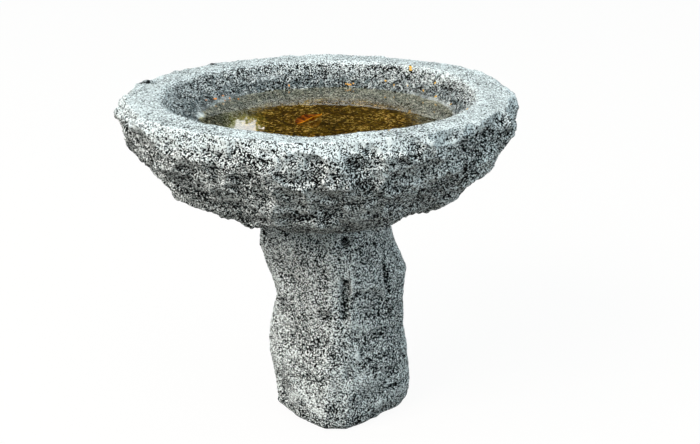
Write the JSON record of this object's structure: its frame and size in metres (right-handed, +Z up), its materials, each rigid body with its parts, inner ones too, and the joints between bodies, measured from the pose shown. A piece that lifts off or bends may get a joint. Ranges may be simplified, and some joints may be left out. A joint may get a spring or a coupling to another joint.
{
  "type": "pedestal birdbath",
  "caption": "Rustic granite birdbath: round hewn basin with a dressed rim and shallow water well, dropped over a pin on a rough stone pedestal, free to turn and lift off.",
  "frame": {"origin": "on the ground, on the axis of the pin, which is the middle of the basin's reach", "axes": "+Z up along the pin, -Y to the front, which is the pedestal's corner with the splitting hole"},
  "size_m": [0.608, 0.6002, 0.53],
  "materials": {
    "hewn_granite": "split and hewn, rough",
    "dressed_granite": "hewn outside, bush-hammered rim and well",
    "stainless_steel": "drawn bar",
    "cement_grout": "cast, sandy",
    "neoprene": "matt sheet",
    "water": "still, a little brown"
  },
  "bodies": {
    "pedestal": {"pedestal": "hewn_granite", "pin_grout": "cement_grout", "locating_pin": "stainless_steel"},
    "seat_pad": {"seat_pad": "neoprene"},
    "basin": {"basin": "dressed_granite", "water": "water"}
  },
  "joints": [
    {"name": "basin_turn", "type": "hinge", "parent": "pedestal", "child": "seat_pad", "pos_m": [0, 0, 0.337], "axis": [0, 0, 1], "continuous": true},
    {"name": "basin_lift", "type": "slide", "parent": "seat_pad", "child": "basin", "axis": [0, 0, 1], "range_m": [0, 0.06]}
  ]
}
